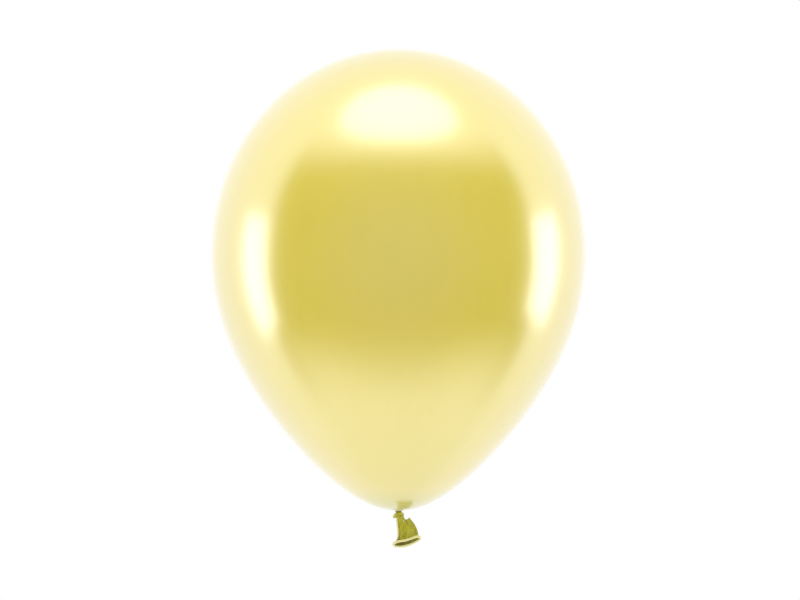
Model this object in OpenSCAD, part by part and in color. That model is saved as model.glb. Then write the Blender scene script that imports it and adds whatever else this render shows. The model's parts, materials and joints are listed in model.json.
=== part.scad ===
// Tied latex party balloon: the inflated skin, the thicker film round its neck, the
// twisted neck, the knot, the open tail below the knot and the bead rolled on its mouth.
//
// The origin is the middle of the neck where it leaves the skin. +Z runs up the
// balloon's axis to its top and -Y is the front, which the tail's mouth leans towards.
// Everything is in millimetres.

/* [Skin] */
// Diameter of the inflated skin at its widest ring
belly_d = 300; // [240:5:360]
// Height of the top above the widest ring
dome_h = 164; // [130:2:200]
// Depth of the lower half below the widest ring
drop_h = 206; // [165:2:250]
// How much the lower half draws in towards the neck
draw_in = 0.33; // [0.2:0.01:0.45]
// Wall of the skin
skin_wall = 0.3; // [0.25:0.05:0.6]

/* [Neck] */
// Outer diameter of the thicker film round the neck
cone_d = 36; // [24:2:60]
// Wall of the thicker film
cone_wall = 0.6; // [0.4:0.1:1.2]
// Diameter of the neck where it leaves the skin
neck_d = 6.4; // [4.6:0.2:8]
// Length of bare neck between the skin and the knot
neck_len = 2; // [1.8:0.1:4]
// Diameter of the neck where the knot pinches it
pinch_d = 3.6; // [3:0.1:4.4]

/* [Knot] */
// Diameter of the end that is tucked through the turn
tuck_d = 6.2; // [5.6:0.1:8]
// Height that the tucked end stands clear above the tail's hinge
tuck_lift = 0.6; // [0.5:0.1:1]
// Thickness of film between the neck's socket and the tail's socket
socket_wall = 1.1; // [0.8:0.1:2]
// Thickness of the turn of film round the tucked end
loop_tube_d = 2.5; // [2:0.1:3.2]
// How far the turn beds into the tucked end
loop_bite = 0.65; // [0.3:0.05:0.9]
// Slope of the turn, low on the left
loop_tilt = 14; // [0:1:20]

/* [Tail] */
// Wall of the tail
tail_wall = 0.5; // [0.4:0.05:0.8]
// Diameter of the gathered film that the knot holds
gather_d = 3; // [2.6:0.1:3.6]
// Diameter of the gathered film just below the knot
pinched_d = 2; // [1.6:0.1:2.2]
// Length of the tail, from its hinge in the knot to its mouth
tail_len = 17.5; // [13:0.5:26]
// Width of the tail between its shoulder and its flare
tail_w = 16.4; // [12:0.2:20]
// Depth of the tail between its shoulder and its flare, front to back
tail_depth = 7; // [5:0.2:8.4]
// Height of the tail's rounded shoulder
shoulder_h = 6.5; // [4:0.5:10]
// Height over which the tail thickens, front to back
thicken_h = 10; // [8:0.5:12]
// Width of the mouth, to the middle of the bead
mouth_w = 21.5; // [17:0.5:28]
// Depth of the mouth, to the middle of the bead
mouth_depth = 9; // [8:0.5:14]
// Shift of the tail to the right
mouth_right = 6.8; // [0:0.2:10]
// Shift of the mouth to the front
mouth_front = 5; // [0:0.5:9]
// Lean of the mouth towards the front
mouth_pitch = 32; // [0:1:40]
// Lift of the mouth's right end
mouth_roll = 15; // [0:1:20]

/* [Lip] */
// Thickness of the rolled bead
bead_d = 2; // [1.4:0.1:3]
// Depth from the tail's end to the middle of the bead
bead_sink = 0.7; // [0.4:0.05:0.9]

/* [Fit] */
// Running gap between curved faces that move past each other
joint_gap = 0.3; // [0.2:0.05:0.4]
// Gap between pieces of film that lie on each other
film_gap = 0.05; // [0.02:0.01:0.1]

/* [Hidden] */

// Round stretches: the skin, the small turned pieces and the faceted hulls
skin_facets = 120;
turned_facets = 48;
hull_facets = 32;
// Steps of the outline along the dome, along the drop and along the neck's cone
dome_steps = 22;
drop_steps = 26;
cone_steps = 8;
neck_steps = 8;
// How quickly the bare neck narrows below the skin
neck_curve = 3;

// The outline's angle runs from -90 at the top, through 0 at the belly, to 90 at the tip.
angle_top = -90;
angle_cone = outline_angle(cone_d / 2);
angle_neck = outline_angle(neck_d / 2);
angle_bore = outline_angle(neck_d / 2 - cone_wall);
belly_z = drop_h * sin(angle_neck);

// The neck swings in the knot at swing_z and the tail nods in the knot at nod_z.
swing_z = -neck_len;
neck_socket_d = pinch_d + 2 * joint_gap;
tail_socket_d = gather_d + 2 * joint_gap;
nod_z = swing_z - neck_socket_d / 2 - socket_wall - tail_socket_d / 2;

// The tucked end reaches from just under the neck's hinge to just above the tail's.
tuck_top = swing_z - joint_gap;
tuck_bottom = nod_z + tuck_lift;
tuck_round = 0.8;

// The turn is as high as the knot's top, whatever its slope.
loop_r = tuck_d / 2 + loop_tube_d / 2 - loop_bite;
loop_z = swing_z - loop_r * sin(loop_tilt) - loop_tube_d / 2;

// The tail is stretched between thin slices, from the one at its start in the gather's
// ball to the mouth at tail_steps, and it is solid film down to the slice hollow_start.
slice = 0.02;
tail_start = gather_d / 6;
tail_steps = 7;
hollow_start = 2;
// How late the tail's flare and the turn of its mouth come
flare_power = 8;
turn_power = 2;

skin_colour = [0.86, 0.79, 0.42];
film_colour = [0.72, 0.70, 0.28];
knot_colour = [0.62, 0.60, 0.22];
lip_colour = [0.84, 0.81, 0.52];

// Radius of the skin's outside at an angle of the outline
function outline_r(angle) =
    belly_d / 2 * cos(angle) * (angle > 0 ? 1 - draw_in * pow(sin(angle), 2) : 1);

// Angle of the lower outline at which the outside has radius r, found by halving
function outline_angle(r, low = 0, high = 90, turns = 30) =
    turns == 0 ? (low + high) / 2
    : outline_r((low + high) / 2) > r ? outline_angle(r, (low + high) / 2, high, turns - 1)
    : outline_angle(r, low, (low + high) / 2, turns - 1);

// Point of the outline at an angle, moved in from the outside by inset
function outline_point(angle, inset) = [
    outline_r(angle) * (1 - inset / (belly_d / 2)),
    belly_z - ((angle > 0 ? drop_h : dome_h) - inset) * sin(angle)
];

// Stretch of the outline between two angles
function outline(from, to, steps, inset) = [
    for (i = [0 : steps]) outline_point(from + (to - from) * i / steps, inset)
];

function reversed(points) = [for (i = [len(points) - 1 : -1 : 0]) points[i]];

// Radius of the bare neck, from its root at share 0 to the pinch at share 1
function neck_r(share) =
    pinch_d / 2 + (neck_d - pinch_d) / 2 * pow(1 - share, neck_curve);

// Drop below the tail's hinge at a share of its length
function tail_drop(share) = tail_start + (tail_len - tail_start) * share;

// Growth of the tail's shoulder and of its thickness, from 0 at the gather to 1
function shoulder(share) =
    sqrt(1 - pow(max(0, 1 - (tail_drop(share) - tail_start) / shoulder_h), 2));
function thickening(share) =
    sin(90 * min(1, (tail_drop(share) - tail_start) / thicken_h));

// Outer width and thickness of the tail at a share of its length
function tail_width(share) =
    pinched_d + (tail_w - pinched_d) * shoulder(share)
    + (mouth_w + tail_wall - tail_w) * pow(share, flare_power);
function tail_thickness(share) =
    pinched_d + (tail_depth - pinched_d) * thickening(share)
    + (mouth_depth + tail_wall - tail_depth) * pow(share, flare_power);

// Inflated skin, open at the bottom where the thicker film carries on
module envelope() {
    outside = concat(
        outline(angle_top, 0, dome_steps, 0),
        outline(0, angle_cone, drop_steps, 0)
    );
    inside = concat(
        outline(angle_top, 0, dome_steps, skin_wall),
        outline(0, angle_cone, drop_steps, skin_wall)
    );
    color(skin_colour)
        rotate_extrude($fn = skin_facets)
            polygon(concat(outside, reversed(inside)));
}

// Thicker film that closes the skin down to the neck, where its flat edge meets the neck
module neck_cone() {
    outside = outline(angle_cone, angle_neck, cone_steps, 0);
    inside = outline(angle_cone, angle_bore, cone_steps, cone_wall);
    edge = [neck_d / 2 - cone_wall, 0];
    color(film_colour)
        rotate_extrude($fn = skin_facets)
            polygon(concat(outside, [edge], reversed(inside)));
}

// Twisted neck, which narrows to the round end that the knot holds
module neck_stem() {
    color(film_colour) {
        rotate_extrude($fn = turned_facets)
            polygon(concat(
                [[0, 0]],
                [for (i = [0 : neck_steps]) [neck_r(i / neck_steps), swing_z * i / neck_steps]],
                [[0, swing_z]]
            ));
        translate([0, 0, swing_z])
            sphere(d = pinch_d, $fn = turned_facets);
    }
}

// End of the neck that is tucked through the turn, with a socket at each end
module knot_tuck() {
    color(knot_colour)
        difference() {
            rotate_extrude($fn = turned_facets)
                polygon([
                    [0, tuck_bottom],
                    [tuck_d / 2 - tuck_round, tuck_bottom],
                    [tuck_d / 2, tuck_bottom + tuck_round],
                    [tuck_d / 2, tuck_top - tuck_round],
                    [tuck_d / 2 - tuck_round, tuck_top],
                    [0, tuck_top]
                ]);
            translate([0, 0, swing_z])
                sphere(d = neck_socket_d, $fn = turned_facets);
            translate([0, 0, nod_z])
                sphere(d = tail_socket_d, $fn = turned_facets);
        }
}

// Turn of film wrapped round the tucked end, sloping down to the left
module knot_loop() {
    bore_d = tuck_d + 2 * film_gap;
    bore_h = 2 * (loop_r + loop_tube_d);
    color(knot_colour)
        difference() {
            translate([0, 0, loop_z])
                rotate([0, -loop_tilt, 0])
                    rotate_extrude($fn = turned_facets)
                        translate([loop_r, 0])
                            circle(d = loop_tube_d, $fn = turned_facets);
            translate([0, 0, loop_z - bore_h / 2])
                cylinder(d = bore_d, h = bore_h, $fn = turned_facets);
        }
}

// Flat outline with straight long sides and round ends
module racetrack(width, depth) {
    hull()
        for (side = [-1, 1])
            translate([side * (width - depth) / 2, 0])
                circle(d = depth, $fn = hull_facets);
}

// Puts its children on the tail at a share of its length, with +Z up into the tail
module at_tail(share) {
    translate([mouth_right * shoulder(share), -mouth_front * share, nod_z - tail_drop(share)])
        rotate([
            -mouth_pitch * pow(share, turn_power),
            -mouth_roll * pow(share, turn_power),
            0
        ])
            children();
}

// Slice across the tail, moved in from its outside by inset
module tail_slice(share, inset, thickness) {
    at_tail(share)
        translate([0, 0, slice - thickness])
            linear_extrude(thickness)
                racetrack(tail_width(share) - 2 * inset, tail_thickness(share) - 2 * inset);
}

// Solid form of the tail below a step, moved in from its outside by inset
module tail_form(first, inset, run_out) {
    for (i = [first : tail_steps - 1])
        hull() {
            tail_slice(i / tail_steps, inset, slice);
            tail_slice((i + 1) / tail_steps, inset, i + 1 < tail_steps ? slice : slice + run_out);
        }
}

// Open tail, gathered at the knot and flared towards its mouth
module tail_skirt() {
    color(film_colour) {
        difference() {
            tail_form(0, 0, 0);
            tail_form(hollow_start, tail_wall, bead_d);
        }
        translate([0, 0, nod_z])
            sphere(d = gather_d, $fn = turned_facets);
    }
}

// Bead rolled on the mouth, with a flat where the tail's end meets it
module rolled_lip() {
    straight = mouth_w - mouth_depth;
    color(lip_colour)
        at_tail(1)
            difference() {
                translate([0, 0, -bead_sink])
                    for (side = [-1, 1]) {
                        translate([side * straight / 2, 0, 0])
                            rotate([0, 0, -side * 90])
                                rotate_extrude(angle = 180, $fn = turned_facets)
                                    translate([mouth_depth / 2, 0])
                                        circle(d = bead_d, $fn = turned_facets);
                        translate([-straight / 2, side * mouth_depth / 2, 0])
                            rotate([0, 90, 0])
                                cylinder(d = bead_d, h = straight, $fn = turned_facets);
                    }
                translate([-mouth_w, -mouth_w, 0])
                    cube([2 * mouth_w, 2 * mouth_w, bead_d]);
            }
}

envelope();
neck_cone();
neck_stem();
knot_loop();
knot_tuck();
tail_skirt();
rolled_lip();
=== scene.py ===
"""Dresses a packed latex party balloon: pearl skin, neck, knot, slack tail and rolled lip.

Sizes held by the sub-assembly classes are millimetres and degrees. Blender works in metres, in
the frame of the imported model: the neck leaves the skin at the origin, +Z runs up the balloon
and -Y is the front.
"""

import sys
import json
import logging
import math
from collections.abc import Callable, Iterator, Sequence
from contextlib import contextmanager
from dataclasses import dataclass, field
from enum import Enum

import bmesh
import bpy
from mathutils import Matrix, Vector


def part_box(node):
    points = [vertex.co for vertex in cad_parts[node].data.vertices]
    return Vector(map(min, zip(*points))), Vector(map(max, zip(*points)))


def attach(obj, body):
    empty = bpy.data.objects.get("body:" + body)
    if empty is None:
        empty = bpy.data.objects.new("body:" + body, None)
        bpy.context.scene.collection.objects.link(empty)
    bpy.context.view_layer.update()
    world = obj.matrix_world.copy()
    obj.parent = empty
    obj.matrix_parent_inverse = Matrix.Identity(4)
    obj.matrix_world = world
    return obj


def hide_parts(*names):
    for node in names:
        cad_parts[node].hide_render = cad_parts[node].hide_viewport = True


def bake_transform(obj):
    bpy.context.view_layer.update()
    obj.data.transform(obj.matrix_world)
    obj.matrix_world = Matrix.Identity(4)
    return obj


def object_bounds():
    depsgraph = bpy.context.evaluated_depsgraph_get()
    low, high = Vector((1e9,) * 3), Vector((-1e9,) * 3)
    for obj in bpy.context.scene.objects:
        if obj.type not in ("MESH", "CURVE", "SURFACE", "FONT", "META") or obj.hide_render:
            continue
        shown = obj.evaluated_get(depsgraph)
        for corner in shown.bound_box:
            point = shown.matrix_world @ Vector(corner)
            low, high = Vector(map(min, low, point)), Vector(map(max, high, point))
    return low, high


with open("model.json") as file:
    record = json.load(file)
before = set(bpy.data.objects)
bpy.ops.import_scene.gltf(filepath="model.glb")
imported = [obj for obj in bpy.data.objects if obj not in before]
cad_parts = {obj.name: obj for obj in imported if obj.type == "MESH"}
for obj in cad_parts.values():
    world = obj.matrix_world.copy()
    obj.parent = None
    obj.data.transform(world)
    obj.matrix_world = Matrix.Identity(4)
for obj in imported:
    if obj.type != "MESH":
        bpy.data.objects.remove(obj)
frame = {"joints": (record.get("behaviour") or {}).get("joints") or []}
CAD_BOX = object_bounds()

log = logging.getLogger("balloon")

MM = 0.001
SHARP_ANGLE = 60.0
MERGE_DISTANCE = 0.001
NOISE_LOW = 0.3
NOISE_HIGH = 0.7
WHITE = (1.0, 1.0, 1.0, 1.0)
TAIL_BEND_ABOVE = 1.2
TAIL_BEND_BELOW = 2.0

Colour = tuple[int, int, int]
Point = tuple[float, float, float]
Socket = bpy.types.NodeSocket


class Body(Enum):
    """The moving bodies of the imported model."""

    BALLOON = "balloon"
    NECK = "neck"
    KNOT = "knot"
    TAIL = "tail"


class Film(Enum):
    """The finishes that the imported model's record names."""

    SKIN = "pearl_skin"
    NECK = "thick_film"
    SLACK = "slack_film"
    LIP = "lip_bead"


# ---------------------------------------------------------------------------- modelling bench


@dataclass(frozen=True)
class Ring:
    """One ring of a drawn tube, in millimetres and degrees.

    The ring's width lies along X before it is pitched about X and rolled about Y, and its
    columns of vertices are turned about the tube's own line first.
    """

    x: float
    y: float
    z: float
    half_width: float
    half_depth: float
    pitch: float = 0.0
    roll: float = 0.0
    turn: float = 0.0


@dataclass(frozen=True)
class Pleat:
    """A crease down a drawn tube: a column of vertices drawn in over a span of rings."""

    column: int
    depth: float
    first: int
    last: int


def deselect_all() -> None:
    """Leaves object mode's selection empty, because an operator acts on all that is selected."""
    bpy.ops.object.select_all(action="DESELECT")


@contextmanager
def editing(piece: bpy.types.Object) -> Iterator[None]:
    """Holds a piece in edit mode.

    Args:
        piece: The mesh or curve object to edit.
    """
    deselect_all()
    piece.select_set(True)
    bpy.context.view_layer.objects.active = piece
    bpy.ops.object.mode_set(mode="EDIT")
    try:
        yield
    finally:
        bpy.ops.object.mode_set(mode="OBJECT")


def pick(piece: bpy.types.Object, wanted: Callable[[bmesh.types.BMVert], bool]) -> None:
    """Selects the vertices of the piece in edit mode that a test wants, and no others.

    Args:
        piece: The mesh object in edit mode.
        wanted: A test on a vertex.
    """
    bpy.ops.mesh.select_all(action="DESELECT")
    mesh = bmesh.from_edit_mesh(piece.data)
    for vertex in mesh.verts:
        if wanted(vertex):
            vertex.select_set(True)
    mesh.select_flush(True)
    bmesh.update_edit_mesh(piece.data)


def turn_selection(degrees: float, axis: str, centre: Point) -> None:
    """Turns the selection right-handed about an axis.

    Args:
        degrees: The turn. With no window the operator turns the other way, so it is negated.
        axis: X, Y or Z.
        centre: The point that stays where it is, in metres.
    """
    if degrees:
        bpy.ops.transform.rotate(
            value=-math.radians(degrees), orient_axis=axis, center_override=centre
        )


def nudge(piece: bpy.types.Object, centre: Point, reach: float, shift: Point, spread: float) -> None:
    """Pushes the film near a point, fading out round it. The piece is in edit mode.

    Args:
        piece: The mesh object in edit mode.
        centre: The middle of the push, in millimetres.
        reach: How far from the middle the push is whole, in millimetres.
        shift: The push, in millimetres.
        spread: How far round the pushed stretch the film follows, in millimetres.
    """
    middle = Vector(centre) * MM
    pick(piece, lambda vertex: (vertex.co - middle).length < reach * MM)
    bpy.ops.transform.translate(
        value=tuple(part * MM for part in shift),
        use_proportional_edit=True,
        proportional_edit_falloff="SMOOTH",
        proportional_size=spread * MM,
    )


@dataclass(frozen=True)
class Dent:
    """A soft push on the surface near a point, in millimetres."""

    centre: Point
    reach: float
    shift: Point
    spread: float

    def press(self, piece: bpy.types.Object, lift: float = 0.0) -> None:
        """Presses the dent into a piece, which is in edit mode.

        Args:
            piece: The mesh object in edit mode.
            lift: Height of the level that the dent's centre is measured from, in millimetres.
        """
        x, y, z = self.centre
        nudge(piece, (x, y, z + lift), self.reach, self.shift, self.spread)


def press_all(piece: bpy.types.Object, dents: Sequence[Dent], lift: float = 0.0) -> None:
    """Presses dents into a piece, which is in edit mode, in their order.

    Args:
        piece: The mesh object in edit mode.
        dents: The dents.
        lift: Height of the level that their centres are measured from, in millimetres.
    """
    for dent in dents:
        dent.press(piece, lift)


def draw_tube(
    name: str, sides: int, rings: Sequence[Ring], pleats: Sequence[Pleat] = ()
) -> bpy.types.Object:
    """Draws a tube ring by ring: a circle is extruded, creased, and each ring is put in place.

    Args:
        name: The piece's name.
        sides: Vertices round the tube.
        rings: The rings, from one end of the tube to the other.
        pleats: Creases to draw in down the tube.

    Returns:
        The open tube, as a mesh object whose place is in its mesh.
    """
    deselect_all()
    bpy.ops.mesh.primitive_circle_add(vertices=sides, radius=1.0, location=(0, 0, 0))
    piece = bpy.context.object
    piece.name = name
    with editing(piece):
        bpy.ops.mesh.select_all(action="SELECT")
        for _ in rings[1:]:
            bpy.ops.mesh.extrude_region_move(TRANSFORM_OT_translate={"value": (0, 0, 1)})
        step = 2 * math.pi / sides
        place = {
            vertex.index: (round(vertex.co.z), round(math.atan2(vertex.co.y, vertex.co.x) / step) % sides)
            for vertex in bmesh.from_edit_mesh(piece.data).verts
        }
        for pleat in pleats:
            creased = {(row, pleat.column) for row in range(pleat.first, pleat.last + 1)}
            pick(piece, lambda vertex, wanted=creased: place[vertex.index] in wanted)
            bpy.ops.transform.resize(
                value=(1 - pleat.depth, 1 - pleat.depth, 1), center_override=(0, 0, 0)
            )
        for number, ring in enumerate(rings):
            pick(piece, lambda vertex, n=number: place[vertex.index][0] == n)
            middle = (0, 0, number)
            turn_selection(ring.turn, "Z", middle)
            bpy.ops.transform.resize(
                value=(ring.half_width * MM, ring.half_depth * MM, 1), center_override=middle
            )
            turn_selection(ring.pitch, "X", middle)
            turn_selection(ring.roll, "Y", middle)
            bpy.ops.transform.translate(value=(ring.x * MM, ring.y * MM, ring.z * MM - number))
    return piece


def close_end(piece: bpy.types.Object, end: Ring, reach: float) -> None:
    """Gathers the end ring of a tube into one pole. The piece is in edit mode.

    Args:
        piece: The mesh object in edit mode.
        end: The end ring.
        reach: How far round the ring's middle its vertices lie, in millimetres.
    """
    middle = Vector((end.x, end.y, end.z)) * MM
    pick(piece, lambda v: v.is_boundary and (v.co - middle).length < reach * MM)
    bpy.ops.mesh.merge(type="CENTER")


def tidy_faces(piece: bpy.types.Object) -> None:
    """Merges doubles and turns every face outwards, before a wall gets its thickness.

    Args:
        piece: The mesh object.
    """
    with editing(piece):
        bpy.ops.mesh.select_all(action="SELECT")
        bpy.ops.mesh.remove_doubles(threshold=MERGE_DISTANCE * MM)
        bpy.ops.mesh.normals_make_consistent(inside=False)


def finish_form(piece: bpy.types.Object, wall: float = 0.0, smooth_levels: int = 0) -> None:
    """Gives a piece its wall and its smoothness, with both modifiers applied.

    Args:
        piece: The mesh object, with its faces outwards.
        wall: Thickness of the film, inwards, in millimetres; none on a closed form.
        smooth_levels: Levels of subdivision surface.
    """
    deselect_all()
    piece.select_set(True)
    bpy.context.view_layer.objects.active = piece
    if wall:
        solidify = piece.modifiers.new("Wall", "SOLIDIFY")
        solidify.thickness = wall * MM
        solidify.offset = -1.0
        bpy.ops.object.modifier_apply(modifier=solidify.name)
    if smooth_levels:
        smooth = piece.modifiers.new("Smooth", "SUBSURF")
        smooth.levels = smooth_levels
        smooth.render_levels = smooth_levels
        bpy.ops.object.modifier_apply(modifier=smooth.name)
    bpy.ops.object.shade_smooth_by_angle(angle=math.radians(SHARP_ANGLE))


# ---------------------------------------------------------------------------------- finishes


def linear(colour: Colour) -> tuple[float, float, float, float]:
    """Turns a colour written from 0 to 255, as on a screen, into Blender's linear one.

    Args:
        colour: Red, green and blue.

    Returns:
        The linear colour, opaque.
    """
    def channel(value: int) -> float:
        """Undoes the screen's curve on one channel."""
        share = value / 255
        return share / 12.92 if share <= 0.04045 else ((share + 0.055) / 1.055) ** 2.4

    return (*(channel(value) for value in colour), 1.0)


@dataclass(frozen=True)
class LatexFinish:
    """A pearl latex film: its colours, its gloss and the detail in it.

    Lengths are millimetres. The film goes from its face colour to its deep one between the
    heights deep_from and deep_to, and goes part of the way over cap_h below cap_z, a height in
    metres, where it has one. Clouds, streaks and flakes shift it by their shares.
    """

    name: str
    face: Colour
    deep: Colour
    roughness: float = 0.25
    roughness_share: float = 0.08
    ior: float = 2.3
    specular_level: float = 1.0
    coat: float = 0.8
    coat_roughness: float = 0.16
    sheen: float = 0.6
    sheen_roughness: float = 0.45
    deep_from: float = 22.0
    deep_to: float = 1.0
    cap_z: float | None = None
    cap_h: float = 1.4
    cap_share: float = 0.5
    cloud_size: float = 60.0
    cloud_share: float = 0.06
    streak_size: Point = (9.0, 9.0, 90.0)
    streak_share: float = 0.05
    flake_size: float = 0.45
    flake_share: float = 0.05
    flake_height: float = 0.004
    crease_size: Point = (1.0, 1.0, 7.0)
    crease_height: float = 0.0

    def make(self) -> bpy.types.Material:
        """Builds the film's material.

        Returns:
            A node material that reads object coordinates only.
        """
        material = bpy.data.materials.new(self.name)
        material.use_nodes = True
        nodes, links = material.node_tree.nodes, material.node_tree.links
        shader = nodes["Principled BSDF"]
        where = nodes.new("ShaderNodeTexCoord").outputs["Object"]

        def noise(size: Point, detail: float) -> Socket:
            """Adds a cloudy pattern.

            Args:
                size: About how large its features are, in millimetres.
                detail: How many finer layers it has.

            Returns:
                The pattern, from 0 to 1.
            """
            mapping = nodes.new("ShaderNodeMapping")
            mapping.inputs["Scale"].default_value = tuple(1 / (length * MM) for length in size)
            texture = nodes.new("ShaderNodeTexNoise")
            texture.inputs["Scale"].default_value = 1.0
            texture.inputs["Detail"].default_value = detail
            links.new(where, mapping.inputs["Vector"])
            links.new(mapping.outputs["Vector"], texture.inputs["Vector"])
            return texture.outputs["Fac"]

        def ranged(value: Socket, low: float, high: float, to_low: float, to_high: float) -> Socket:
            """Maps a value smoothly from one range to another and keeps it there.

            Args:
                value: The value.
                low: Where its range starts.
                high: Where its range ends.
                to_low: What the start becomes.
                to_high: What the end becomes.

            Returns:
                The mapped value.
            """
            node = nodes.new("ShaderNodeMapRange")
            node.interpolation_type = "SMOOTHSTEP"
            for key, number in (
                ("From Min", low), ("From Max", high), ("To Min", to_low), ("To Max", to_high)
            ):
                node.inputs[key].default_value = number
            links.new(value, node.inputs["Value"])
            return node.outputs["Result"]

        def spread(pattern: Socket, low: float, high: float) -> Socket:
            """Spreads a pattern's usual values over a range."""
            return ranged(pattern, NOISE_LOW, NOISE_HIGH, low, high)

        def total(*parts: Socket) -> Socket:
            """Adds values up.

            Args:
                parts: The values.

            Returns:
                Their sum.
            """
            result = parts[0]
            for part in parts[1:]:
                node = nodes.new("ShaderNodeMath")
                node.operation = "ADD"
                links.new(result, node.inputs[0])
                links.new(part, node.inputs[1])
                result = node.outputs["Value"]
            return result

        clouds = noise((self.cloud_size,) * 3, 2.0)
        streaks = noise(self.streak_size, 3.0)
        flakes = noise((self.flake_size,) * 3, 1.0)
        height = nodes.new("ShaderNodeSeparateXYZ")
        links.new(where, height.inputs["Vector"])
        depths = [
            ranged(height.outputs["Z"], self.deep_to * MM, self.deep_from * MM, 1.0, 0.0),
            spread(clouds, -self.cloud_share, self.cloud_share),
            spread(streaks, -self.streak_share, self.streak_share),
            spread(flakes, -self.flake_share, self.flake_share),
        ]
        if self.cap_z is not None:
            cap_from = self.cap_z - self.cap_h * MM
            depths.append(ranged(height.outputs["Z"], cap_from, self.cap_z, 0.0, self.cap_share))
        tint = nodes.new("ShaderNodeMix")
        tint.data_type = "RGBA"
        tint.inputs["A"].default_value = linear(self.face)
        tint.inputs["B"].default_value = linear(self.deep)
        links.new(total(*depths), tint.inputs["Factor"])
        links.new(tint.outputs["Result"], shader.inputs["Base Color"])

        rough_low = self.roughness * (1 - self.roughness_share)
        rough_high = self.roughness * (1 + self.roughness_share)
        links.new(spread(flakes, rough_low, rough_high), shader.inputs["Roughness"])
        relief = [spread(flakes, 0.0, self.flake_height * MM)]
        if self.crease_height:
            creases = noise(self.crease_size, 2.0)
            relief.append(spread(creases, 0.0, self.crease_height * MM))
        bump = nodes.new("ShaderNodeBump")
        bump.inputs["Strength"].default_value = 1.0
        bump.inputs["Distance"].default_value = 1.0
        links.new(total(*relief), bump.inputs["Height"])
        links.new(bump.outputs["Normal"], shader.inputs["Normal"])

        for key, number in (
            ("IOR", self.ior),
            ("Specular IOR Level", self.specular_level),
            ("Coat Weight", self.coat),
            ("Coat Roughness", self.coat_roughness),
            ("Sheen Weight", self.sheen),
            ("Sheen Roughness", self.sheen_roughness),
        ):
            shader.inputs[key].default_value = number
        return material


# ------------------------------------------------------------------------------ sub-assemblies


@dataclass
class Piece:
    """A finished piece with where it rides and what it stands for."""

    made: bpy.types.Object
    film: Film
    nodes: tuple[str, ...]
    body: Body
    bends_to: Body | None = None
    bend_from: Point = (0.0, 0.0, 0.0)
    bend_to: Point = (0.0, 0.0, 0.0)

    def place(self, material: bpy.types.Material) -> None:
        """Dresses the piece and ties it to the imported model.

        Args:
            material: The film's material.
        """
        self.made.data.materials.clear()
        self.made.data.materials.append(material)
        if self.bends_to:
            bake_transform(self.made)
        else:
            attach(self.made, self.body.value)
        if self.nodes:
            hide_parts(*self.nodes)
        log.info("%s: %d faces, stands for %s", self.made.name, len(self.made.data.polygons),
                 ", ".join(self.nodes) or "no packed node")


def bend_at(joint: str, above: float, below: float) -> tuple[Point, Point]:
    """Gives where film that crosses a joint starts and stops bending.

    Args:
        joint: The joint's name.
        above: How far above the joint the bend starts, in millimetres.
        below: How far below the joint the bend stops, in millimetres.

    Returns:
        The two points, on the neck's own line, in millimetres.
    """
    height = next(found for found in frame["joints"] if found["name"] == joint)["pos_m"][2] / MM
    return (0, 0, height + above), (0, 0, height - below)


def bent_into_tail(made: bpy.types.Object, film: Film, *nodes: str) -> Piece:
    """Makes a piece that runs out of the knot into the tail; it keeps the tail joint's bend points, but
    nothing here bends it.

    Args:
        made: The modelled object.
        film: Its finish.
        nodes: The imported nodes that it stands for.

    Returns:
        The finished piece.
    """
    bend = bend_at("tail_nod", TAIL_BEND_ABOVE, TAIL_BEND_BELOW)
    return Piece(made, film, nodes, Body.KNOT, Body.TAIL, *bend)


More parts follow.
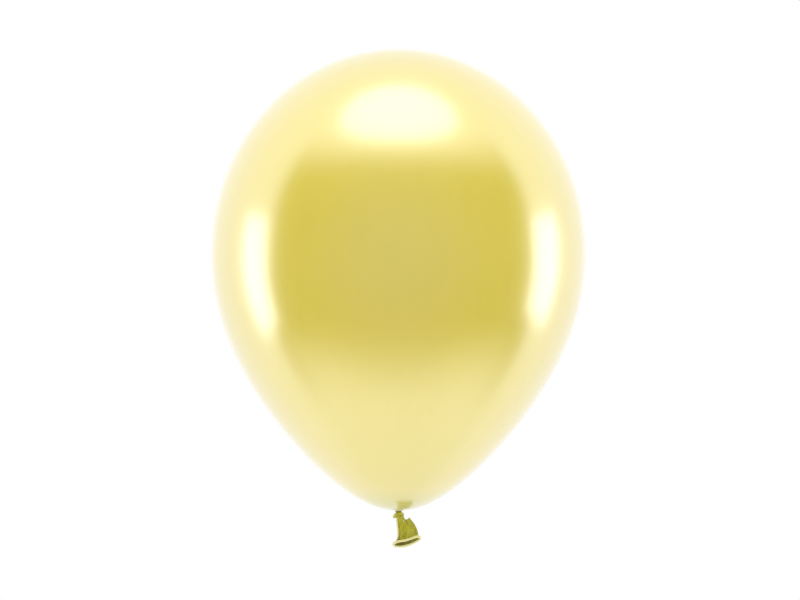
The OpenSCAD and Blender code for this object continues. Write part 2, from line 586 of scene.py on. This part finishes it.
@dataclass
class InflatedSkin:
    """The blown-up skin and the thicker film that closes it round the neck."""

    dome_h: float = 164.0
    drop_h: float = 206.0
    draw_in: float = 0.33
    wall: float = 0.3
    sides: int = 160
    dome_rings: int = 36
    drop_rings: int = 46
    neck_rings: int = 12
    pole_r: float = 1.2
    collar_r: float = 3.3
    collar_inset: float = 0.5
    collar_rise: float = 0.6
    collar_rings: int = 5
    halvings: int = 30
    belly_r: float = field(init=False)
    belly_z: float = field(init=False)
    join_z: float = field(init=False)

    def __post_init__(self) -> None:
        """Takes the belly's size and height and the film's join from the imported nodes."""
        low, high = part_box("envelope")
        self.belly_r = (high.x - low.x) / 2 / MM
        self.belly_z = high.z / MM - self.dome_h
        self.join_z = low.z / MM

    def outline(self, angle: float) -> tuple[float, float]:
        """Gives the outline's radius and height.

        Args:
            angle: From -90 at the top, through 0 at the belly, to 90 at the tip, in degrees.

        Returns:
            The radius and the height, in millimetres.
        """
        sine, cosine = math.sin(math.radians(angle)), math.cos(math.radians(angle))
        drawn_in = 1 - self.draw_in * sine * sine if angle > 0 else 1.0
        height = self.drop_h if angle > 0 else self.dome_h
        return self.belly_r * cosine * drawn_in, self.belly_z - height * sine

    def angle_at(self, height: float) -> float:
        """Gives the outline's angle at a height of the lower half, in degrees."""
        return math.degrees(math.asin(min(1.0, (self.belly_z - height) / self.drop_h)))

    def rings(self, angles: list[float]) -> list[Ring]:
        """Makes level rings on the outline.

        Args:
            angles: The outline's angles, in degrees.

        Returns:
            One ring for each angle.
        """
        made = []
        for angle in angles:
            radius, height = self.outline(angle)
            made.append(Ring(0.0, 0.0, height, radius, radius))
        return made

    def skin(self) -> bpy.types.Object:
        """Models the skin, from its top down to the thicker film.

        Returns:
            The skin with its wall.
        """
        top = [-90 + 90 * step / self.dome_rings for step in range(self.dome_rings + 1)]
        top[0] = -90 + math.degrees(self.pole_r / self.belly_r)
        low = self.angle_at(self.join_z)
        bottom = [low * step / self.drop_rings for step in range(1, self.drop_rings + 1)]
        rings = self.rings(top + bottom)
        piece = draw_tube("balloon_skin", self.sides, rings)
        with editing(piece):
            close_end(piece, rings[0], 2 * self.pole_r)
        tidy_faces(piece)
        finish_form(piece, wall=self.wall)
        return piece

    def neck_film(self) -> bpy.types.Object:
        """Models the thicker film round the neck, down to the collar that tucks in at the neck.

        Returns:
            The film with its wall.
        """
        first, last = self.angle_at(self.join_z), self.neck_angle()
        steps = [first + (last - first) * step / self.neck_rings for step in range(self.neck_rings + 1)]
        rings = self.rings(steps)
        end = rings[-1]
        for step in range(1, self.collar_rings + 1):
            turn = math.radians(90 * step / self.collar_rings)
            radius = end.half_width - self.collar_inset * math.sin(turn)
            rings.append(Ring(0, 0, end.z + self.collar_rise * (1 - math.cos(turn)), radius, radius))
        piece = draw_tube("neck_film", self.sides, rings)
        tidy_faces(piece)
        finish_form(piece, wall=self.wall)
        return piece

    def neck_angle(self) -> float:
        """Finds, by halving, where the outline is as narrow as the collar.

        Returns:
            The outline's angle there, in degrees.
        """
        low, high = self.angle_at(self.join_z), 90.0
        for _ in range(self.halvings):
            middle = (low + high) / 2
            if self.outline(middle)[0] > self.collar_r:
                low = middle
            else:
                high = middle
        return low

    def build(self) -> list[Piece]:
        """Builds both pieces of the skin.

        Returns:
            The skin and the thicker film.
        """
        return [
            Piece(self.skin(), Film.SKIN, ("envelope",), Body.BALLOON),
            Piece(self.neck_film(), Film.NECK, ("neck_cone",), Body.BALLOON),
        ]


@dataclass
class TwistedNeck:
    """The short neck, creased and twisted between the skin and the knot."""

    sides: int = 32
    crease_every: int = 4
    crease_depth: float = 0.16
    twist: float = 70.0
    end_reach: float = 3.3
    bend_above: float = 1.2
    bend_below: float = 0.8
    heights: tuple[float, ...] = (0.35, -0.2, -0.7, -1.2, -1.7, -2.3, -3.0, -3.8)
    radii: tuple[float, ...] = (3.0, 2.95, 2.75, 2.5, 2.35, 2.35, 2.5, 2.2)

    def build(self) -> list[Piece]:
        """Builds the neck, which runs into the knot at its lower end.

        Returns:
            The neck.
        """
        count = len(self.heights)
        rings = [
            Ring(0, 0, height, radius, radius, turn=self.twist * number / (count - 1))
            for number, (height, radius) in enumerate(zip(self.heights, self.radii))
        ]
        creases = [
            Pleat(column, self.crease_depth, 0, count - 1)
            for column in range(0, self.sides, self.crease_every)
        ]
        piece = draw_tube("twisted_neck", self.sides, rings, creases)
        with editing(piece):
            for end in (rings[0], rings[-1]):
                close_end(piece, end, self.end_reach)
        tidy_faces(piece)
        finish_form(piece, smooth_levels=2)
        bend = bend_at("knot_swing", self.bend_above, self.bend_below)
        return [Piece(piece, Film.SLACK, ("neck_stem",), Body.NECK, Body.KNOT, *bend)]


@dataclass
class OverhandKnot:
    """The knot: the turn of film round it and the end that is tucked through the turn."""

    turn_segments: int = 72
    turn_sides: int = 20
    turn_r: float = 3.0
    turn_tube_r: float = 1.55
    turn_roll: float = 12.0
    turn_pitch: float = 16.0
    turn_squash: Point = (1.0, 0.94, 0.9)
    turn_lift: float = 0.8
    turn_dents: tuple[Dent, ...] = (
        Dent((-3.4, -0.4, -0.8), 1.3, (-0.2, 0, -0.9), 2.6),
        Dent((3.4, -1.2, 0.5), 1.2, (0.2, 0, -0.5), 2.2),
        Dent((0.6, -3.0, 0.9), 1.2, (0, -0.2, 0.4), 2.4),
    )
    groove_every: int = 5
    groove_depth: float = 0.2
    strand_sides: int = 24
    strand_rings: tuple[Ring, ...] = (
        Ring(0.2, 0.0, -2.4, 1.4, 1.4),
        Ring(0.3, -0.2, -3.0, 2.3, 2.0),
        Ring(0.6, -0.7, -4.2, 2.9, 2.4),
        Ring(0.9, -1.2, -5.4, 3.0, 2.2),
        Ring(1.0, -1.5, -6.6, 2.9, 2.0),
        Ring(1.1, -1.7, -7.8, 2.7, 1.7),
        Ring(1.2, -1.6, -9.0, 2.3, 1.3),
        Ring(1.3, -1.3, -10.4, 1.6, 0.8),
    )
    strand_creases: tuple[Pleat, ...] = (
        Pleat(15, 0.22, 2, 7),
        Pleat(18, 0.3, 2, 7),
        Pleat(21, 0.22, 2, 7),
        Pleat(12, 0.15, 3, 7),
    )
    strand_end_spare: float = 0.2
    fold_sides: int = 16
    fold_rings: tuple[Ring, ...] = (
        Ring(2.4, -0.6, -3.0, 0.7, 0.9, roll=-10),
        Ring(3.3, -1.2, -4.4, 0.85, 1.1, roll=-20),
        Ring(3.9, -1.5, -5.8, 0.9, 1.2, roll=-15),
        Ring(4.4, -1.5, -7.1, 0.95, 1.3, roll=-35),
        Ring(5.4, -1.3, -7.9, 0.95, 1.3, roll=-85),
        Ring(6.5, -1.0, -7.6, 0.9, 1.2, roll=-120),
        Ring(7.3, -0.8, -6.9, 0.6, 0.9, roll=-135),
    )
    fold_creases: tuple[Pleat, ...] = (Pleat(8, 0.3, 1, 5), Pleat(13, 0.3, 1, 5))
    fold_end_spare: float = 0.1

    def turn(self) -> bpy.types.Object:
        """Models the turn as a tilted roll with grooves round it, where the film lies folded.

        Returns:
            The turn.
        """
        low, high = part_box("knot_loop")
        middle = (low + high) / 2
        deselect_all()
        bpy.ops.mesh.primitive_torus_add(
            location=(0, 0, 0), major_segments=self.turn_segments, minor_segments=self.turn_sides,
            major_radius=self.turn_r * MM, minor_radius=self.turn_tube_r * MM,
        )
        piece = bpy.context.object
        piece.name = "knot_turn"
        with editing(piece):
            pick(piece, lambda v: v.index % self.turn_sides % self.groove_every == 0)
            bpy.ops.transform.shrink_fatten(value=-self.groove_depth * MM)
            bpy.ops.mesh.select_all(action="SELECT")
            bpy.ops.transform.resize(value=self.turn_squash, center_override=(0, 0, 0))
            turn_selection(-self.turn_pitch, "X", (0, 0, 0))
            turn_selection(-self.turn_roll, "Y", (0, 0, 0))
            bpy.ops.transform.translate(value=(middle.x, middle.y, middle.z + self.turn_lift * MM))
            press_all(piece, self.turn_dents, lift=middle.z / MM + self.turn_lift)
        tidy_faces(piece)
        finish_form(piece, smooth_levels=1)
        return piece

    def strand(self) -> bpy.types.Object:
        """Models the tucked end, which comes out under the turn and runs down into the tail.

        Returns:
            The strand.
        """
        rings = self.strand_rings
        piece = draw_tube("tucked_strand", self.strand_sides, rings, self.strand_creases)
        with editing(piece):
            for end in (rings[0], rings[-1]):
                close_end(piece, end, end.half_width + self.strand_end_spare)
        tidy_faces(piece)
        finish_form(piece, smooth_levels=2)
        return piece

    def fold(self) -> bpy.types.Object:
        """Models the rolled edge of film that drops from the turn and curls up into the tail.

        Returns:
            The fold.
        """
        rings = self.fold_rings
        piece = draw_tube("curled_fold", self.fold_sides, rings, self.fold_creases)
        with editing(piece):
            for end in (rings[0], rings[-1]):
                close_end(piece, end, end.half_depth + self.fold_end_spare)
        tidy_faces(piece)
        finish_form(piece, smooth_levels=2)
        return piece

    def build(self) -> list[Piece]:
        """Builds the knot's three pieces.

        Returns:
            The turn, and the strand and the fold, which run into the tail.
        """
        return [
            Piece(self.turn(), Film.SLACK, ("knot_loop",), Body.KNOT),
            bent_into_tail(self.strand(), Film.SLACK, "knot_tuck"),
            bent_into_tail(self.fold(), Film.SLACK),
        ]


@dataclass(frozen=True)
class TailRow:
    """One row across the tail: its left and right ends from the front, and its depth."""

    left: tuple[float, float]
    right: tuple[float, float]
    y: float
    half_depth: float
    pitch: float

    def ring(self) -> Ring:
        """Turns the row into a ring between its two ends.

        Returns:
            The ring.
        """
        across, up = self.right[0] - self.left[0], self.right[1] - self.left[1]
        return Ring(
            (self.left[0] + self.right[0]) / 2, self.y, (self.left[1] + self.right[1]) / 2,
            math.hypot(across, up) / 2, self.half_depth,
            pitch=-self.pitch, roll=-math.degrees(math.atan2(up, across)),
        )


def rows_between(rows: tuple[TailRow, ...], count: int) -> list[TailRow]:
    """Fills in rows on smooth curves through the rows that are given.

    Args:
        rows: The rows to pass through, from the knot to the mouth.
        count: How many steps to make of each stretch between two rows.

    Returns:
        The rows with the new ones between them.
    """
    def curve(values: list[float], share: float) -> float:
        """Gives a Catmull-Rom curve's value between the middle two of four.

        Args:
            values: The four values.
            share: How far along the middle stretch, from 0 to 1.

        Returns:
            The value there.
        """
        before, start, end, after = values
        return 0.5 * (
            2 * start + (end - before) * share
            + (2 * before - 5 * start + 4 * end - after) * share ** 2
            + (3 * start - before - 3 * end + after) * share ** 3
        )

    made = []
    padded = (rows[0], *rows, rows[-1])
    for first in range(len(rows) - 1):
        near = padded[first:first + 4]
        for step in range(count):
            share = step / count
            made.append(TailRow(
                (curve([r.left[0] for r in near], share), curve([r.left[1] for r in near], share)),
                (curve([r.right[0] for r in near], share), curve([r.right[1] for r in near], share)),
                curve([r.y for r in near], share),
                curve([r.half_depth for r in near], share),
                curve([r.pitch for r in near], share),
            ))
    return [*made, rows[-1]]


@dataclass
class SlackTail:
    """The open tail below the knot, pleated where it is gathered, and the bead on its mouth.

    The pleats' spans count the rows below; the rings between the rows follow them.
    """

    sides: int = 64
    steps: int = 4
    wall: float = 0.5
    bead_r: float = 1.0
    bead_rings: int = 24
    bead_sides: int = 6
    rows: tuple[TailRow, ...] = (
        TailRow((-1.2, -6.3), (1.6, -6.1), -0.3, 1.1, 0),
        TailRow((-1.6, -7.6), (6.0, -6.4), -0.5, 1.6, 0),
        TailRow((-1.7, -9.2), (9.4, -6.9), -0.9, 2.2, 0),
        TailRow((-1.6, -11.0), (11.9, -9.3), -1.3, 2.7, 2),
        TailRow((-1.4, -13.3), (13.7, -12.0), -1.8, 3.0, 5),
        TailRow((-1.2, -15.8), (14.8, -14.6), -2.3, 3.2, 9),
        TailRow((-1.1, -18.3), (15.5, -16.9), -2.9, 3.4, 14),
        TailRow((-1.2, -21.4), (16.0, -18.8), -3.5, 3.7, 20),
        TailRow((-2.2, -24.5), (16.5, -20.4), -4.2, 4.1, 27),
        TailRow((-4.0, -27.1), (17.2, -21.3), -4.9, 4.6, 32),
    )
    pleats: tuple[Pleat, ...] = (
        Pleat(37, 0.26, 1, 8), Pleat(44, 0.42, 1, 7), Pleat(52, 0.36, 1, 8), Pleat(59, 0.26, 1, 7),
        Pleat(4, 0.2, 1, 6), Pleat(12, 0.34, 1, 8), Pleat(20, 0.38, 1, 7), Pleat(27, 0.26, 1, 8),
    )
    pleat_shape: tuple[float, ...] = (0.12, 0.45, 0.85, 1.0, 0.85, 0.45, 0.12)
    top_reach: float = 2.0
    dents: tuple[Dent, ...] = (
        Dent((4.8, -0.5, -6.4), 1.3, (0.0, 0.0, -2.2), 2.2),
        Dent((8.4, -0.8, -6.8), 1.1, (-0.1, 0.0, 0.9), 2.2),
        Dent((1.6, -4.8, -14.5), 1.4, (0.1, -0.9, 0.1), 3.4),
        Dent((5.4, -4.8, -11.5), 1.2, (0.0, 0.7, 0.0), 2.6),
        Dent((8.6, -5.2, -15.8), 1.4, (-0.1, -0.8, 0.0), 3.2),
        Dent((11.9, -4.6, -13.0), 1.2, (0.0, 0.7, 0.0), 2.6),
        Dent((2.2, -6.8, -20.8), 1.3, (0.0, -0.7, 0.1), 2.4),
        Dent((6.4, -6.8, -19.0), 1.3, (0.0, 0.8, 0.0), 2.8),
        Dent((11.0, 1.6, -13.5), 1.4, (0.0, -0.9, 0.0), 3.4),
        Dent((3.4, 1.4, -16.0), 1.4, (0.0, 0.8, 0.0), 3.2),
    )
    bead_dents: tuple[Dent, ...] = (
        Dent((-1.0, -9.0, -26.4), 1.0, (0.0, -0.2, 0.25), 2.2),
        Dent((5.0, -9.2, -26.0), 1.0, (0.0, 0.1, -0.25), 2.0),
        Dent((11.0, -9.0, -23.6), 1.0, (0.1, -0.2, 0.2), 2.0),
        Dent((1.0, -1.8, -23.2), 1.0, (0.0, 0.2, 0.25), 2.0),
        Dent((8.0, -1.4, -21.0), 1.0, (0.0, 0.2, -0.2), 2.2),
    )
    edge_sides: int = 12
    edge_inset: float = 0.05
    edge_lift: float = 0.3
    edge_width: tuple[float, ...] = (0.2, 0.4, 0.6, 0.6, 0.7, 0.65, 0.75, 0.8, 0.5)
    edge_depth_share: float = 1.15
    edge_forward_share: float = 0.42
    mouth_sag: float = 1.1
    mouth_reach: float = 1.3
    mouth_spread: float = 9.0

    def skirt(self) -> bpy.types.Object:
        """Models the tail's film, open at the mouth.

        Returns:
            The film with its wall.
        """
        rows = rows_between(self.rows, self.steps)
        half = len(self.pleat_shape) // 2
        creases = [
            Pleat(
                (pleat.column + side) % self.sides, pleat.depth * share,
                pleat.first * self.steps, pleat.last * self.steps,
            )
            for pleat in self.pleats
            for side, share in enumerate(self.pleat_shape, -half)
        ]
        piece = draw_tube("tail_film", self.sides, [row.ring() for row in rows], creases)
        with editing(piece):
            close_end(piece, rows[0].ring(), self.top_reach)
            press_all(piece, self.dents)
            self.sag(piece)
        tidy_faces(piece)
        finish_form(piece, wall=self.wall, smooth_levels=1)
        return piece

    def edge(self) -> bpy.types.Object:
        """Models the film's doubled edge, a slim fold down the tail's left side. Its pale finish is a
        painted highlight down that side.

        Returns:
            The fold.
        """
        rings = [
            Ring(
                row.left[0] + self.edge_inset + width,
                row.y - self.edge_forward_share * row.half_depth,
                row.left[1] + self.edge_lift, width, self.edge_depth_share * width,
                pitch=-row.pitch,
            )
            for row, width in zip(self.rows[:-1], self.edge_width)
        ]
        piece = draw_tube("tail_edge_painted_highlight", self.edge_sides, rings)
        with editing(piece):
            for end in (rings[0], rings[-1]):
                close_end(piece, end, 2 * end.half_depth)
        tidy_faces(piece)
        finish_form(piece, smooth_levels=2)
        return piece

    def sag(self, piece: bpy.types.Object) -> None:
        """Lets the middle of the mouth hang below its two ends.

        Args:
            piece: The mesh object in edit mode.
        """
        mouth = self.rows[-1].ring()
        drop = mouth.half_depth * math.sin(math.radians(-mouth.pitch))
        for side in (-1, 1):
            edge = (mouth.x, mouth.y + side * mouth.half_depth, mouth.z - side * drop)
            nudge(piece, edge, self.mouth_reach, (0, 0, -self.mouth_sag), self.mouth_spread)

    def bead(self) -> bpy.types.Object:
        """Models the bead as a bevelled oval on the mouth, a little wavy, made into a mesh.

        Returns:
            The bead.
        """
        mouth = self.rows[-1].ring()
        deselect_all()
        bpy.ops.curve.primitive_bezier_circle_add(radius=1.0, location=(0, 0, 0))
        piece = bpy.context.object
        piece.name = "rolled_bead"
        piece.data.dimensions = "3D"
        piece.data.resolution_u = self.bead_rings
        piece.data.bevel_depth = self.bead_r * MM
        piece.data.bevel_resolution = self.bead_sides
        with editing(piece):
            bpy.ops.curve.select_all(action="SELECT")
            bpy.ops.transform.resize(
                value=(mouth.half_width * MM, mouth.half_depth * MM, 1), center_override=(0, 0, 0)
            )
            turn_selection(mouth.pitch, "X", (0, 0, 0))
            turn_selection(mouth.roll, "Y", (0, 0, 0))
            bpy.ops.transform.translate(value=(mouth.x * MM, mouth.y * MM, mouth.z * MM))
        deselect_all()
        piece.select_set(True)
        bpy.context.view_layer.objects.active = piece
        bpy.ops.object.convert(target="MESH")
        piece = bpy.context.object
        with editing(piece):
            press_all(piece, self.bead_dents)
            self.sag(piece)
        tidy_faces(piece)
        finish_form(piece)
        return piece

    def build(self) -> list[Piece]:
        """Builds the tail's three pieces.

        Returns:
            The film and its folded edge, which run out of the knot, and the bead.
        """
        return [
            bent_into_tail(self.skirt(), Film.SLACK, "tail_skirt"),
            # The edge fold wears the pale lip finish, a painted highlight down the tail's left side.
            bent_into_tail(self.edge(), Film.LIP),
            Piece(self.bead(), Film.LIP, ("rolled_lip",), Body.TAIL),
        ]


# --------------------------------------------------------------------------------------- studio


@dataclass(frozen=True)
class Softbox:
    """A square or round lamp that looks at the balloon's middle.

    Azimuth 0 is the front and 90 is the right; both angles are degrees. Sizes are metres, and
    glow is the brightness of its face, where 1 is white.
    """

    name: str
    azimuth: float
    elevation: float
    distance: float
    width: float
    height: float
    glow: float
    is_round: bool = False

    def build(self, middle: Vector) -> None:
        """Hangs the lamp.

        Args:
            middle: The point that the lamp looks at.
        """
        lamp = bpy.data.lights.new(self.name, "AREA")
        lamp.shape = "ELLIPSE" if self.is_round else "RECTANGLE"
        lamp.size, lamp.size_y = self.width, self.height
        area = self.width * self.height * (math.pi / 4 if self.is_round else 1.0)
        lamp.energy = self.glow * math.pi * area
        hung = bpy.data.objects.new(self.name, lamp)
        bpy.context.scene.collection.objects.link(hung)
        turn, rise = math.radians(self.azimuth), math.radians(self.elevation)
        outward = Vector((
            math.sin(turn) * math.cos(rise), -math.cos(turn) * math.cos(rise), math.sin(rise)
        ))
        hung.location = middle + outward * self.distance
        hung.rotation_euler = outward.to_track_quat("Z", "Y").to_euler()
        hung.visible_camera = False


@dataclass
class Studio:
    """A white tent with a dimmer front, three softboxes, a pale floor and a long lens.

    Angles are degrees and lengths metres, apart from the lens and its sensor. A glow of 1 is
    white. The tent's glow is what gloss sees, and the form glow is what matt surfaces get, more
    by form_lift towards the front and the back. The two flatness values straighten the dim
    front's upper and lower edges on a round surface, and low_widening widens it lower down.
    """

    backdrop: float = 1.0
    form_glow: float = 0.32
    form_lift: float = 1.66
    tent_glow: float = 1.0
    front_glow: float = 0.04
    front_half_angle: float = 86.5
    front_turn: float = 2.5
    top_flatness: float = 0.68
    bottom_flatness: float = 0.56
    low_widening: float = 0.3
    front_top: float = 53.0
    front_bottom: float = -57.0
    side_edge: float = 4.0
    top_edge: float = 12.0
    bottom_edge: float = 18.0
    floor_drop: float = 1.8
    floor_r: float = 1.05
    floor_sides: int = 96
    floor_roughness: float = 0.9
    floor_colour: Colour = (236, 234, 230)
    floor_glow_share: float = 0.75
    lens_mm: float = 134.6
    sensor_mm: float = 36.0
    camera_distance: float = 2.4
    camera_x: float = 0.0012
    camera_z: float = 0.169
    softboxes: tuple[Softbox, ...] = (
        Softbox("left_softbox", -96, -5.5, 2.5, 0.9, 1.75, 1.95),
        Softbox("right_softbox", 99.5, -3.5, 2.5, 1.04, 1.55, 1.95),
        Softbox("top_softbox", 0, 79, 2.5, 2.55, 1.85, 1.45, is_round=True),
    )

    def world(self) -> None:
        """Makes the tent, which the camera, gloss and matt surfaces each see at its own glow."""
        world = bpy.data.worlds.new("tent")
        bpy.context.scene.world = world
        world.use_nodes = True
        nodes, links = world.node_tree.nodes, world.node_tree.links
        background = nodes["Background"]
        split = nodes.new("ShaderNodeSeparateXYZ")
        links.new(nodes.new("ShaderNodeTexCoord").outputs["Generated"], split.inputs["Vector"])

        def math_node(
            kind: str, first: Socket | float, second: Socket | float | None = None
        ) -> Socket:
            """Adds a sum on sockets or numbers.

            Args:
                kind: Blender's name for the sum.
                first: The first socket or number.
                second: The second one, if the sum takes two.

            Returns:
                The result.
            """
            node = nodes.new("ShaderNodeMath")
            node.operation = kind
            for socket, value in zip(node.inputs, (first, second)):
                if isinstance(value, (int, float)):
                    socket.default_value = value
                elif value is not None:
                    links.new(value, socket)
            return node.outputs["Value"]

        def edge_at(value: Socket, degrees: float, spread: float, rising: bool) -> Socket:
            """Makes a soft edge at an angle.

            Args:
                value: The angle to test, in radians.
                degrees: Where the middle of the edge is.
                spread: How far the edge reaches each way, in degrees.
                rising: Whether it goes from 0 to 1, or from 1 to 0.

            Returns:
                The edge's value.
            """
            node = nodes.new("ShaderNodeMapRange")
            node.interpolation_type = "SMOOTHSTEP"
            node.inputs["From Min"].default_value = math.radians(degrees - spread)
            node.inputs["From Max"].default_value = math.radians(degrees + spread)
            node.inputs["To Min"].default_value = 0.0 if rising else 1.0
            node.inputs["To Max"].default_value = 1.0 if rising else 0.0
            links.new(value, node.inputs["Value"])
            return node.outputs["Result"]

        ahead = math_node("MULTIPLY", split.outputs["Y"], -1.0)
        turned = math_node("ARCTAN2", split.outputs["X"], ahead)
        azimuth = math_node("ABSOLUTE", math_node("SUBTRACT", turned, math.radians(self.front_turn)))

        def elevation_over(flatness: float) -> Socket:
            """Measures elevation over an axis that is shortened from side to side.

            Args:
                flatness: What is left of the axis.

            Returns:
                The elevation, in radians.
            """
            aside = math_node("MULTIPLY", split.outputs["X"], flatness)
            squares = (math_node("MULTIPLY", ahead, ahead), math_node("MULTIPLY", aside, aside))
            return math_node("ARCTAN2", split.outputs["Z"], math_node("SQRT", math_node("ADD", *squares)))

        elevation = elevation_over(self.top_flatness)
        downward = math_node("MAXIMUM", math_node("MULTIPLY", elevation, -self.low_widening), 0.0)
        across = edge_at(
            math_node("SUBTRACT", azimuth, downward), self.front_half_angle, self.side_edge, False
        )
        below = edge_at(elevation, self.front_top, self.top_edge, False)
        above = edge_at(
            elevation_over(self.bottom_flatness), self.front_bottom, self.bottom_edge, True
        )
        front = math_node("MULTIPLY", across, math_node("MULTIPLY", below, above))
        dim = math_node("MULTIPLY", front, self.front_glow - self.tent_glow)
        glow = math_node("ADD", dim, self.tent_glow)
        path = nodes.new("ShaderNodeLightPath")

        depth = math_node("MULTIPLY", ahead, ahead)
        lit = math_node("ADD", math_node("MULTIPLY", depth, self.form_lift), self.form_glow)

        def seen_by(ray: str, strength: Socket | float, otherwise: Socket) -> Socket:
            """Gives one kind of ray a strength of its own.

            Args:
                ray: The light path's name for the kind of ray.
                strength: What that ray sees.
                otherwise: What all other rays see.

            Returns:
                The strength for every ray.
            """
            node = nodes.new("ShaderNodeMix")
            node.data_type = "FLOAT"
            links.new(path.outputs[ray], node.inputs["Factor"])
            links.new(otherwise, node.inputs["A"])
            if isinstance(strength, float):
                node.inputs["B"].default_value = strength
            else:
                links.new(strength, node.inputs["B"])
            return node.outputs["Result"]

        strength = seen_by("Is Camera Ray", self.backdrop, seen_by("Is Diffuse Ray", lit, glow))
        links.new(strength, background.inputs["Strength"])
        background.inputs["Color"].default_value = WHITE
        world.cycles.sampling_method = "NONE"

    def floor(self) -> None:
        """Lays a round pale floor, far below the balloon."""
        deselect_all()
        bpy.ops.mesh.primitive_circle_add(
            vertices=self.floor_sides, radius=self.floor_r, fill_type="NGON",
            location=(0, 0, -self.floor_drop),
        )
        laid = bpy.context.object
        laid.name = "floor"
        material = bpy.data.materials.new("pale_floor")
        material.use_nodes = True
        nodes, links = material.node_tree.nodes, material.node_tree.links
        shader = nodes["Principled BSDF"]
        shader.inputs["Base Color"].default_value = linear(self.floor_colour)
        shader.inputs["Roughness"].default_value = self.floor_roughness
        glow = nodes.new("ShaderNodeEmission")
        glow.inputs["Color"].default_value = WHITE
        path = nodes.new("ShaderNodeLightPath")
        seen = nodes.new("ShaderNodeMath")
        seen.operation = "MAXIMUM"
        links.new(path.outputs["Is Camera Ray"], seen.inputs[0])
        links.new(path.outputs["Is Glossy Ray"], seen.inputs[1])
        share = nodes.new("ShaderNodeMath")
        share.operation = "MULTIPLY"
        links.new(seen.outputs["Value"], share.inputs[0])
        share.inputs[1].default_value = self.floor_glow_share
        mix = nodes.new("ShaderNodeMixShader")
        links.new(share.outputs["Value"], mix.inputs["Fac"])
        links.new(shader.outputs["BSDF"], mix.inputs[1])
        links.new(glow.outputs["Emission"], mix.inputs[2])
        links.new(mix.outputs["Shader"], nodes["Material Output"].inputs["Surface"])
        laid.data.materials.append(material)

    def camera(self) -> None:
        """Sets up a level camera in front of the balloon, with a long lens."""
        data = bpy.data.cameras.new("camera")
        data.sensor_width = self.sensor_mm
        data.lens = self.lens_mm
        stood = bpy.data.objects.new("camera", data)
        stood.location = (self.camera_x, -self.camera_distance, self.camera_z)
        stood.rotation_euler = (math.radians(90), 0, 0)
        bpy.context.scene.collection.objects.link(stood)
        bpy.context.scene.camera = stood

    def build(self) -> None:
        """Sets up the whole studio round the balloon."""
        low, high = CAD_BOX
        middle = Vector((0, 0, (low.z + high.z) / 2))
        self.world()
        self.floor()
        for softbox in self.softboxes:
            softbox.build(middle)
        self.camera()
        bpy.context.scene.view_settings.view_transform = "Standard"


# ----------------------------------------------------------------------------------------- main


def finishes() -> dict[Film, LatexFinish]:
    """Gives the finish of each film.

    Returns:
        The finishes, by the film that wears them.
    """
    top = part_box("envelope")[1].z
    return {
        Film.SKIN: LatexFinish("pearl_latex", (243, 221, 60), (216, 206, 12), cap_z=top),
        Film.NECK: LatexFinish("thick_latex", (243, 221, 60), (216, 206, 12)),
        Film.SLACK: LatexFinish(
            "slack_latex", (180, 174, 32), (118, 108, 6), roughness=0.3, ior=1.5,
            specular_level=0.8, coat=0.6, coat_roughness=0.18, sheen=0.1,
            deep_from=-19.0, deep_to=-26.0, cloud_size=5.0, cloud_share=0.25,
            streak_size=(1.6, 1.6, 9.0), streak_share=0.15, crease_height=0.035,
        ),
        # The rolled latex is the bead's own colour, and on the tail's edge fold it is a painted
        # highlight.
        Film.LIP: LatexFinish(
            "rolled_latex_and_painted_highlight", (230, 224, 148), (204, 196, 96), roughness=0.35, ior=1.6,
            specular_level=0.6, sheen=0.4,
            deep_from=-60.0, deep_to=-80.0, cloud_size=3.0, cloud_share=0.15,
            streak_size=(4.0, 4.0, 1.0), crease_size=(5.0, 5.0, 0.8), crease_height=0.05,
        ),
    }


def main() -> None:
    """Builds every piece, dresses it and sets up the studio."""
    logging.basicConfig(level=logging.INFO, format="%(name)s: %(message)s", stream=sys.stdout)
    materials = {film: finish.make() for film, finish in finishes().items()}
    for assembly in (InflatedSkin(), TwistedNeck(), OverhandKnot(), SlackTail()):
        for piece in assembly.build():
            piece.place(materials[piece.film])
    Studio().build()


if __name__ == "__main__":
    main()
